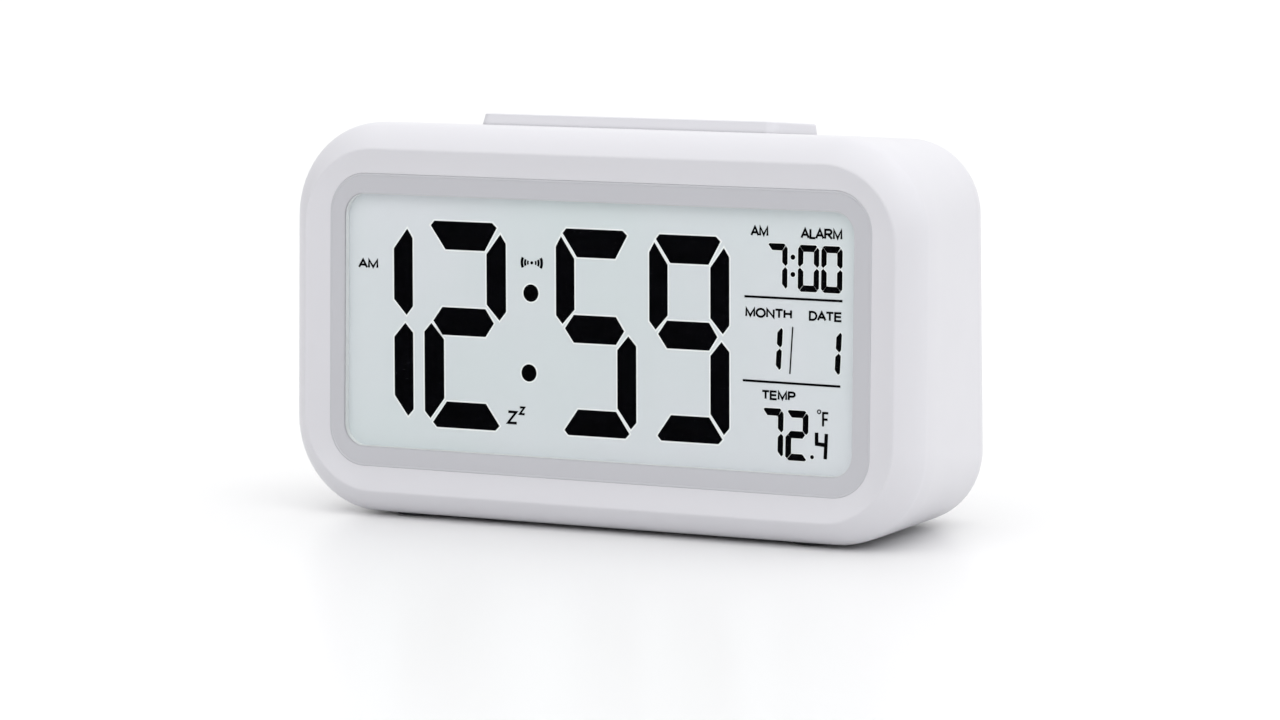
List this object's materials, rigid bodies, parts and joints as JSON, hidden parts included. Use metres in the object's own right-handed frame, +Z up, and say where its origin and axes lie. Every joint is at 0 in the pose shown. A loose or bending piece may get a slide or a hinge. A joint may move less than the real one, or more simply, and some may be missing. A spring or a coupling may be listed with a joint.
{
  "type": "alarm clock",
  "caption": "Free-standing digital alarm clock: rounded white case, wide LCD window in a shallow grey frame, press bar on top, rear buttons, switch and battery door.",
  "frame": {"origin": "on the resting surface, under the middle of the clock's bounding box", "axes": "+X to the right seen from the front, +Y to the back (the display faces -Y), +Z up"},
  "size_m": [0.135, 0.045, 0.0771],
  "materials": {
    "white_shell": "satin white moulded ABS",
    "display_border": "light grey satin ABS",
    "clear_lens": "clear acrylic, polished",
    "lcd": "pale grey-green LCD with matte polariser",
    "silver_film": "silver-white diffusing film",
    "light_guide": "clear acrylic, dotted back",
    "led": "white LED package",
    "holder_plastic": "white moulded ABS, matte",
    "contact_rubber": "layered conductive silicone",
    "board": "glass-epoxy board with green solder mask",
    "black_plastic": "black moulded nylon or epoxy",
    "steel": "zinc-plated steel",
    "nickel": "nickel-plated spring steel",
    "foot_rubber": "soft grey rubber",
    "button_grey": "light grey matte ABS",
    "cell_sleeve": "plain green sleeve on a steel can",
    "cable_white": "white PVC flat cable",
    "wire_red": "red PVC",
    "wire_black": "black PVC"
  },
  "bodies": {
    "case": {"display_frame": "display_border", "display_lens": "clear_lens", "lcd_panel": "lcd", "reflector_film": "silver_film", "light_guide": "light_guide", "backlight_led_left": "led", "backlight_led_right": "led", "lcd_holder": "holder_plastic", "contact_strip": "contact_rubber", "main_board": "board", "controller_chip": "black_plastic", "clock_crystal": "steel", "temperature_sensor": "black_plastic", "board_screw_lower_left": "steel", "board_screw_upper_left": "steel", "board_screw_lower_right": "steel", "board_screw_upper_right": "steel", "housing_shell": "white_shell", "foot_front_left": "foot_rubber", "foot_rear_left": "foot_rubber", "foot_front_right": "foot_rubber", "foot_rear_right": "foot_rubber", "snooze_board": "board", "snooze_switch": "black_plastic", "snooze_spring_left": "steel", "snooze_screw_left": "steel", "snooze_spring_right": "steel", "snooze_screw_right": "steel", "snooze_ribbon": "cable_white", "rear_cover": "white_shell", "case_screw_lower_left": "steel", "case_screw_upper_left": "steel", "case_screw_lower_right": "steel", "case_screw_upper_right": "steel", "buzzer": "black_plastic", "battery_1": "cell_sleeve", "battery_2": "cell_sleeve", "battery_3": "cell_sleeve", "contact_left_lower": "nickel", "contact_left_upper": "nickel", "contact_right_lower": "nickel", "contact_right_upper": "nickel", "battery_wire_red": "wire_red", "battery_wire_black": "wire_black", "mode_switch": "black_plastic", "set_switch": "black_plastic", "up_switch": "black_plastic", "down_switch": "black_plastic", "button_board": "board", "light_switch_body": "steel", "button_board_screw_left": "steel", "button_board_screw_right": "steel", "board_ribbon": "cable_white"},
    "snooze_bar": {"snooze_bar": "white_shell"},
    "mode_button": {"mode_button": "button_grey"},
    "set_button": {"set_button": "button_grey"},
    "up_button": {"up_button": "button_grey"},
    "down_button": {"down_button": "button_grey"},
    "light_switch": {"light_switch_knob": "black_plastic"},
    "battery_door": {"battery_door": "white_shell"}
  },
  "joints": [
    {"name": "snooze_press", "type": "slide", "parent": "case", "child": "snooze_bar", "axis": [0, 0, -1], "range_m": [0, 0.001], "stiffness_N_per_m": 400, "springref_m": -0.001, "deforming": ["snooze_spring_left", "snooze_spring_right"]},
    {"name": "mode_press", "type": "slide", "parent": "case", "child": "mode_button", "axis": [0, -1, 0], "range_m": [0, 0.0008], "stiffness_N_per_m": 500, "springref_m": -0.0005},
    {"name": "set_press", "type": "slide", "parent": "case", "child": "set_button", "axis": [0, -1, 0], "range_m": [0, 0.0008], "stiffness_N_per_m": 500, "springref_m": -0.0005},
    {"name": "up_press", "type": "slide", "parent": "case", "child": "up_button", "axis": [0, -1, 0], "range_m": [0, 0.0008], "stiffness_N_per_m": 500, "springref_m": -0.0005},
    {"name": "down_press", "type": "slide", "parent": "case", "child": "down_button", "axis": [0, -1, 0], "range_m": [0, 0.0008], "stiffness_N_per_m": 500, "springref_m": -0.0005},
    {"name": "light_switch_slide", "type": "slide", "parent": "case", "child": "light_switch", "axis": [1, 0, 0], "range_m": [0, 0.003]},
    {"name": "battery_door_tilt", "type": "hinge", "parent": "case", "child": "battery_door", "pos_m": [-0.0165, 0.02165, 0.012], "axis": [-1, 0, 0], "range_deg": [0, 75]}
  ]
}
